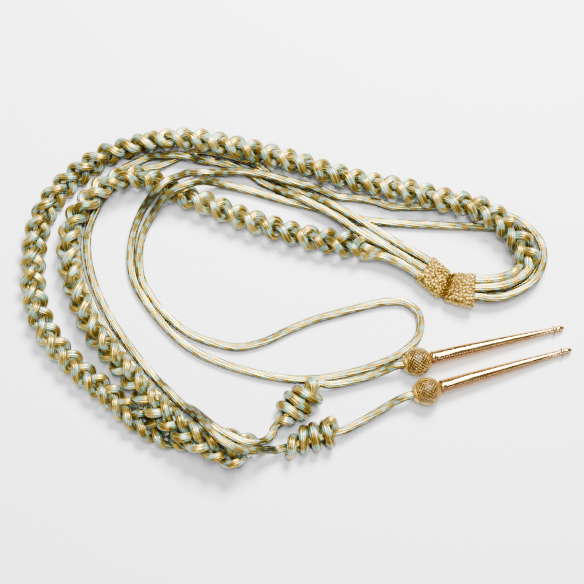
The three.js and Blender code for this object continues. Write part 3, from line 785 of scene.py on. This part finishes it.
def coil_knot(name, node, turns, at, degrees, length, first, last, bight):
    """A knot's winding, core and small end loop as one finished piece."""
    winding = knot_winding(turns, at, degrees, first, last)
    loop = even_steps(smooth_line(plan_points(bight)), STRAND_STEP)
    meshes = [
        cord_mesh(name + "_winding", winding, KNOT_CORD_D),
        cord_mesh(name + "_core", knot_core(at, degrees, length), KNOT_CORE_D),
        cord_mesh(name + "_bight", loop, CORD_D),
    ]
    mesh = join_pieces(name, meshes)
    mesh.materials.append(strand_material)
    mesh.shade_smooth()
    piece = new_object(name, mesh)
    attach(piece, "root")
    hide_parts(node)
    print(name, "has", round(run_of(winding)[-1], 3), "m of cord in its turns")
    return piece


knot_1 = coil_knot(
    "knot_1_turns", "coil_knot_1",
    KNOT_1_TURNS, COIL_1_AT, COIL_1_DEGREES, COIL_1_LENGTH,
    [-12.0, 0.0, 8.1], [13.0, 0.0, 8.1],
    [
        [9, -100, 8.5], [10, -91, 9], [12.2, -84.6, 10],
        [14.6, -88, 11.8], [15, -95, 11.4], [12, -102, 9],
    ],
)
knot_2 = coil_knot(
    "knot_2_turns", "coil_knot_2",
    KNOT_2_TURNS, COIL_2_AT, COIL_2_DEGREES, COIL_2_LENGTH,
    [-13.0, 0.0, 8.1], [14.5, 0.5, 8.1],
    [
        [27, -130, 9], [29.5, -124.5, 12], [32.5, -123, 12.4],
        [35, -127, 11.5], [36, -134, 9], [32, -141, 7],
    ],
)

# %% [markdown]
# ## Finish of the gold wire
# The balls and the wrap are made of gilt wire. It is painted brightest where it stands
# proud and brown in the hollows, as painted shade: on the wrap from the height of its
# relief, and on the balls by a dark core inside the net. Its tone also drifts at random.

# %% Finish of the gold wire
def wire_finish(name, bright, deep, scale):
    """Gilt wire whose tone drifts from place to place."""
    material, tree, shader = start_material(name)
    space = tree.nodes.new("ShaderNodeTexCoord").outputs["Object"]
    drift = grain(tree, space, scale, 4.0)
    tone = blend_colours(tree, remap(tree, drift, 0.35, 0.65), deep, bright)
    tree.links.new(tone, shader.inputs["Base Color"])
    shader.inputs["Metallic"].default_value = 0.85
    tree.links.new(remap(tree, drift, 0.3, 0.7, 0.42, 0.28), shader.inputs["Roughness"])
    fine = grain(tree, space, 4200.0, 2.0)
    bump(tree, shader, fine, 0.0001)
    return material


ball_wire = wire_finish("ball_wire", colour(226, 182, 76), colour(146, 104, 26), 420.0)
# Painted shade: a near-black finish for the core, seen through the holes of the net.
shade_core_finish = wire_finish("ball_shade_core", colour(40, 22, 6), colour(20, 11, 4), 600.0)
shade_core_shader = shade_core_finish.node_tree.nodes["Principled BSDF"]
shade_core_shader.inputs["Metallic"].default_value = 0.2
print("finishes", ball_wire.name, "and", shade_core_finish.name)

# %% [markdown]
# ## Balls
# A ball of knitted wire covers the join of each cord and tag. A round body is cut into
# diamonds: each face of a globe gets a middle point, and the old edges are dissolved.
# A wireframe over the diamonds is the knitted net, with a near-black core inside it whose
# colour is painted shade in the hollow of the ball, and two rings of wire close its neck
# round the cord.

# %% Balls
BALL_MESHES = 22
BALL_WIRE = 0.00046
BALL_HOLLOW = 0.0012
CORE_CUTS = 4
NECK_RINGS = ((0.0036, -0.0088), (0.0049, -0.0081))
NECK_WIRE_D = 0.0013
NECK_POINTS = 60


def aim(mesh, at, degrees):
    """Turns a mesh made along +X to a tag's slope and direction, about its ball."""
    mesh.transform(Matrix.Rotation(TAG_SLOPE, 4, "Y"))
    mesh.transform(Matrix.Rotation(math.radians(degrees), 4, "Z"))
    place = plan_points([[*at, BALL_D / 2]])[0]
    mesh.transform(Matrix.Translation(Vector(place)))


def knitted_ball(name, node, at, degrees):
    """The net, its dark core and the rings wound round the cord's entry."""
    radius = BALL_D / 2 * MM
    net = bmesh.new()
    bmesh.ops.create_uvsphere(
        net, u_segments=BALL_MESHES, v_segments=BALL_MESHES // 2 + 1,
        radius=radius - BALL_WIRE / 2,
    )
    old_edges = list(net.edges)
    bmesh.ops.poke(net, faces=net.faces[:])
    bmesh.ops.dissolve_edges(net, edges=old_edges, use_verts=False)
    for v in net.verts:
        v.co = v.co.normalized() * (radius - BALL_WIRE / 2)
    bmesh.ops.wireframe(
        net, faces=net.faces[:], thickness=BALL_WIRE,
        use_replace=True, use_even_offset=False, use_boundary=True,
    )
    bmesh.ops.rotate(net, verts=net.verts[:], matrix=Matrix.Rotation(math.pi / 2, 3, "Y"))
    mesh = bpy.data.meshes.new(name)
    net.to_mesh(mesh)
    net.free()
    rings = []
    angle = np.linspace(0, 2 * math.pi, NECK_POINTS)
    for ring_radius, ring_x in NECK_RINGS:
        path = np.column_stack([
            np.full(NECK_POINTS, ring_x),
            ring_radius * np.cos(angle),
            ring_radius * np.sin(angle),
        ])
        rings.append(cord_mesh(name + "_ring", path, NECK_WIRE_D, wires=False))
    whole = join_pieces(name, [mesh, *rings])
    whole.materials.append(ball_wire)
    aim(whole, at, degrees)
    whole.shade_smooth()
    piece = new_object(name, whole)
    core_bm = bmesh.new()
    bmesh.ops.create_icosphere(core_bm, subdivisions=CORE_CUTS, radius=radius - BALL_HOLLOW)
    core_mesh = bpy.data.meshes.new(name + "_core")
    core_bm.to_mesh(core_mesh)
    core_bm.free()
    core_mesh.materials.append(shade_core_finish)
    core_mesh.shade_smooth()
    aim(core_mesh, at, degrees)
    core = new_object(name + "_core", core_mesh)
    for made in (piece, core):
        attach(made, "root")
    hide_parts(node)
    print(name, len(whole.polygons), "faces")
    return piece


ball_1 = knitted_ball("ball_1_net", "ball_1", BALL_1_AT, TAG_1_DEGREES)
ball_2 = knitted_ball("ball_2_net", "ball_2", BALL_2_AT, TAG_2_DEGREES)

# %% [markdown]
# ## Tags
# A tag is spun brass, plated and polished: a long cone, a turned ring near its end and
# a small blunt tip. One profile of diameter against length is spun round the axis. A band
# of fine engraved lines runs along the cone, and its brown is partly the engraving's own
# colour and partly painted shade on the side of the tag that faces the front.

# %% Finish of the tags
ENGRAVED_AT = 0.885
ENGRAVED_LINES = 3600.0
ENGRAVED_SLANT = 90.0
ENGRAVED_HALF = 0.085, 0.06
ENGRAVED_DEPTH = 0.0002
ENGRAVED_BROWN_AND_SHADE = 0.85
tag_finish, tree, shader = start_material("tag_finish")
space = tree.nodes.new("ShaderNodeTexCoord").outputs["Object"]
haze = grain(tree, space, 160.0, 4.0)
tone = blend_colours(tree, haze, colour(196, 150, 80), colour(234, 200, 136))
shader.inputs["Metallic"].default_value = 1.0
tree.links.new(remap(tree, haze, 0.3, 0.7, 0.08, 0.17), shader.inputs["Roughness"])
uv = tree.nodes.new("ShaderNodeUVMap")
uv.uv_map = "UVMap"
split = tree.nodes.new("ShaderNodeSeparateXYZ")
tree.links.new(uv.outputs[0], split.inputs[0])
along, around = split.outputs[0], split.outputs[1]
from_band = calc(tree, "ABSOLUTE", calc(tree, "SUBTRACT", around, ENGRAVED_AT))
band = remap(tree, from_band, *ENGRAVED_HALF)


def slanted_lines(slant):
    """Fine lines across the tag, which lean one way or the other."""
    lean = calc(tree, "MULTIPLY", around, slant)
    return calc(tree, "SINE", calc(tree, "MULTIPLY_ADD", along, ENGRAVED_LINES, lean))


crossed = calc(
    tree, "MAXIMUM", slanted_lines(ENGRAVED_SLANT), slanted_lines(-ENGRAVED_SLANT)
)
cuts = calc(tree, "MULTIPLY", crossed, band)
# The band's brown is partly painted shade on the side of the tag that faces the front.
browned_and_shaded = calc(tree, "MULTIPLY", band, ENGRAVED_BROWN_AND_SHADE)
engraved = blend_colours(tree, browned_and_shaded, tone, colour(112, 66, 24))
tree.links.new(engraved, shader.inputs["Base Color"])
bump(tree, shader, cuts, ENGRAVED_DEPTH)
print("tag finish", len(tree.nodes), "nodes")

# %% Tags
TAG_PROFILE = [
    [0, 7.6], [0.003, 8.6], [0.008, 9.2], [0.03, 9.2], [0.036, 8.7], [0.044, 9.0],
    [0.3, 8.1], [0.6, 6.3], [0.905, 3.8], [0.909, 5.6], [0.914, 6.2], [0.919, 6.2],
    [0.924, 5.6], [0.928, 4.2], [0.934, 3.9], [0.95, 4.3], [0.965, 4.1], [0.98, 3.1],
    [0.99, 2.0], [0.997, 0.9], [1, 0],
]
TAG_SIDES = 48
TAG_SHOWN = 90.6
SHARP_DEGREES = 38


def metal_tag(name, node, at, degrees):
    """Spins the profile round the axis and closes it."""
    turned = bmesh.new()
    outline = [turned.verts.new(((BALL_END + GAP) * MM, 0, 0))]
    for share, diameter in TAG_PROFILE:
        x = (BALL_END + GAP + share * TAG_SHOWN) * MM
        outline.append(turned.verts.new((x, 0, diameter / 2 * MM)))
    edges = [turned.edges.new(pair) for pair in zip(outline, outline[1:])]
    bmesh.ops.spin(
        turned, geom=outline + edges, cent=(0, 0, 0), axis=(1, 0, 0), angle=2 * math.pi,
        steps=TAG_SIDES, use_merge=True,
    )
    bmesh.ops.remove_doubles(turned, verts=turned.verts[:], dist=1e-6)
    bmesh.ops.recalc_face_normals(turned, faces=turned.faces[:])
    layer = turned.loops.layers.uv.new("UVMap")
    for face in turned.faces:
        for corner in face.loops:
            x, y, z = corner.vert.co
            corner[layer].uv = (x, math.atan2(z, y) / (2 * math.pi) + 0.5)
    mesh = bpy.data.meshes.new(name)
    turned.to_mesh(mesh)
    turned.free()
    mesh.materials.append(tag_finish)
    mesh.shade_smooth()
    mesh.set_sharp_from_angle(angle=math.radians(SHARP_DEGREES))
    aim(mesh, at, degrees)
    piece = new_object(name, mesh)
    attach(piece, "root")
    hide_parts(node)
    print(name, len(mesh.polygons), "faces")
    return piece


tag_1 = metal_tag("tag_1_metal", "tag_1", BALL_1_AT, TAG_1_DEGREES)
tag_2 = metal_tag("tag_2_metal", "tag_2", BALL_2_AT, TAG_2_DEGREES)

# %% [markdown]
# ## Wrap
# The wrap is a short sleeve of coarse woven gilt wire, pinched in its middle where the
# ornament folds. A fine grid is bent round a row of rounded sections, and each of its
# points is then pushed out or in by the bumps of the stitches, which are small cells of
# uneven size. The height of the relief is kept on the mesh, lowered along the crease, so
# that the finish can paint shade into the hollows and the crease. A second, plain grid
# inside the first is the sleeve's inner skin, and a bridge of faces joins the two at each
# mouth.

# %% Finish of the wrap
wrap_finish, tree, shader = start_material("wrap_finish")
relief = tree.nodes.new("ShaderNodeAttribute")
relief.attribute_name = "relief"
height = relief.outputs["Fac"]
space = tree.nodes.new("ShaderNodeTexCoord").outputs["Object"]
drift = grain(tree, space, 350.0, 3.0)
# Painted shade: the wrap is painted dark brown where its relief is low, in the hollows between
# the stitches and along the crease.
low = blend_colours(tree, drift, colour(62, 40, 4), colour(108, 74, 12))
high = blend_colours(tree, drift, colour(188, 144, 22), colour(244, 214, 84))
tone = blend_colours(tree, remap(tree, height, 0.25, 0.8), low, high)
tree.links.new(tone, shader.inputs["Base Color"])
shader.inputs["Metallic"].default_value = 0.7
shader.inputs["Roughness"].default_value = 0.34
bump(tree, shader, grain(tree, space, 3200.0, 3.0), 0.00015)
print("wrap finish", len(tree.nodes), "nodes")

# %% Wrap
WRAP_SECTIONS = [
    [126.5, 27.5, 9.3, 14.6, -38], [135, 20, 9.2, 14.4, -37], [143.5, 13, 9.6, 12.4, -30],
    [148.5, 10, 9.7, 10.6, -22], [154, 8.5, 9.9, 12.8, -15], [163, 6.5, 10.4, 14.6, -8],
    [175, 5, 11, 14.8, -5],
]
WRAP_SQUARENESS = 0.38
WRAP_AROUND = 240
WRAP_ALONG = 110
WRAP_RELIEF = 0.0011
WRAP_WALL = 0.0016
STITCH = 0.0016
STITCH_DEGREES = 40
STITCH_STRETCH = 0.6
STITCH_FULLNESS = 1.5
STITCH_ROUND = 0.6
STITCH_LEVEL = 0.6
CREASE_AT = 0.5
CREASE_WIDTH = 0.05
CREASE_DEPTH = 0.0018
CREASE_SHADE = 0.8
FRAY = 0.0014
FRAY_SCALE = 1500
FRAY_RISE = 20
FRAY_START = 9
RING_SAMPLES = 721


def wrap_ring(share):
    """One ring of the wrap's plain surface, with outward directions, at even steps."""
    at = share * (len(WRAP_SECTIONS) - 1)
    x, y, half, height, degrees = (
        np.interp(at, range(len(WRAP_SECTIONS)), column) for column in zip(*WRAP_SECTIONS)
    )
    angle = np.linspace(0, 2 * math.pi, RING_SAMPLES)
    cosine, sine = np.cos(angle), np.sin(angle)
    side = half * np.sign(cosine) * np.abs(cosine) ** WRAP_SQUARENESS
    up = height / 2 * np.sign(sine) * np.abs(sine) ** WRAP_SQUARENESS
    run = run_of(np.column_stack([side, up]))
    even = np.linspace(0, run[-1], WRAP_AROUND + 1)
    side, up = np.interp(even, run, side), np.interp(even, run, up)
    outward = np.column_stack([np.gradient(up), -np.gradient(side)])
    outward /= np.linalg.norm(outward, axis=1)[:, None]
    turn = math.radians(degrees)
    frame_2d = np.array([[-math.sin(turn), math.cos(turn), 0], [0, 0, 1]])
    zero = plan_points([[x, y, height / 2]])[0]
    return zero + np.column_stack([side, up]) @ frame_2d * MM, outward @ frame_2d


def stitch_height(place):
    """Height of the bumpy stitches, from 0 to 1, at a place on the wrap."""
    turn = math.radians(STITCH_DEGREES)
    x, y, z = place
    slant = Vector((
        (x * math.cos(turn) + y * math.sin(turn)) * STITCH_STRETCH,
        -x * math.sin(turn) + y * math.cos(turn),
        z,
    ))
    near = noise.voronoi(slant / STITCH)[0]
    return min((near[1] - near[0]) * STITCH_FULLNESS, 1.0) ** STITCH_ROUND


def wrap_skin(inner):
    """The wrap's outer skin with its relief, or its plain inner skin."""
    skin = bmesh.new()
    bmesh.ops.create_grid(skin, x_segments=WRAP_ALONG, y_segments=WRAP_AROUND, size=0.5)
    relief_and_shade_layer = skin.verts.layers.float.new("relief")
    for v in skin.verts:
        share = v.co.x + 0.5
        column, row = round(share * WRAP_ALONG), round((v.co.y + 0.5) * WRAP_AROUND)
        place, outward = (Vector(given[row % WRAP_AROUND]) for given in rings[column])
        lift = stitch_height(place)
        crease = math.exp(-(((share - CREASE_AT) / CREASE_WIDTH) ** 2))
        near_mouth = max(abs(share - 0.5) * FRAY_RISE - FRAY_START, 0)
        ragged = Vector((noise.noise(place * FRAY_SCALE) * FRAY * near_mouth, 0, 0))
        depth = WRAP_RELIEF * (lift - STITCH_LEVEL) - CREASE_DEPTH * crease
        if inner:
            lift, depth = 0, -WRAP_WALL - CREASE_DEPTH * crease
        # Painted shade: along the crease the relief is lowered, so the finish paints it darker
        # there.
        v[relief_and_shade_layer] = lift * (1 - CREASE_SHADE * crease)
        v.co = place + outward * depth + ragged
    bmesh.ops.remove_doubles(skin, verts=skin.verts[:], dist=1e-6)
    mesh = bpy.data.meshes.new("skin")
    skin.to_mesh(mesh)
    skin.free()
    return mesh


rings = [wrap_ring(i / WRAP_ALONG) for i in range(WRAP_ALONG + 1)]
wrap_bm = bmesh.new()
for inner in (False, True):
    wrap_bm.from_mesh(wrap_skin(inner))
rims = [edge for edge in wrap_bm.edges if edge.is_boundary]
middle_x = sum(edge.verts[0].co.x for edge in rims) / len(rims)
for left in (True, False):
    mouth = [edge for edge in rims if (edge.verts[0].co.x < middle_x) == left]
    bmesh.ops.bridge_loops(wrap_bm, edges=mouth)
bmesh.ops.recalc_face_normals(wrap_bm, faces=wrap_bm.faces[:])
print("wrap volume", round(wrap_bm.calc_volume(signed=True) * 1e6, 2), "cc")
print("wrap open edges", sum(edge.is_boundary for edge in wrap_bm.edges))
wrap_mesh = bpy.data.meshes.new("wrap_weave")
wrap_bm.to_mesh(wrap_mesh)
wrap_bm.free()
wrap_mesh.materials.append(wrap_finish)
wrap_mesh.shade_smooth()
wrap = new_object("wrap_weave", wrap_mesh)
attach(wrap, "root")
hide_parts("wrap")
print("wrap", len(wrap_mesh.polygons), "faces")

# %% [markdown]
# ## What each cord is
# Each length is that of the cord's own path, which follows the photograph.


# %% Box of the finished piece
low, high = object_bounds()
print("visual box", [round(v, 4) for v in (*low, *high)])
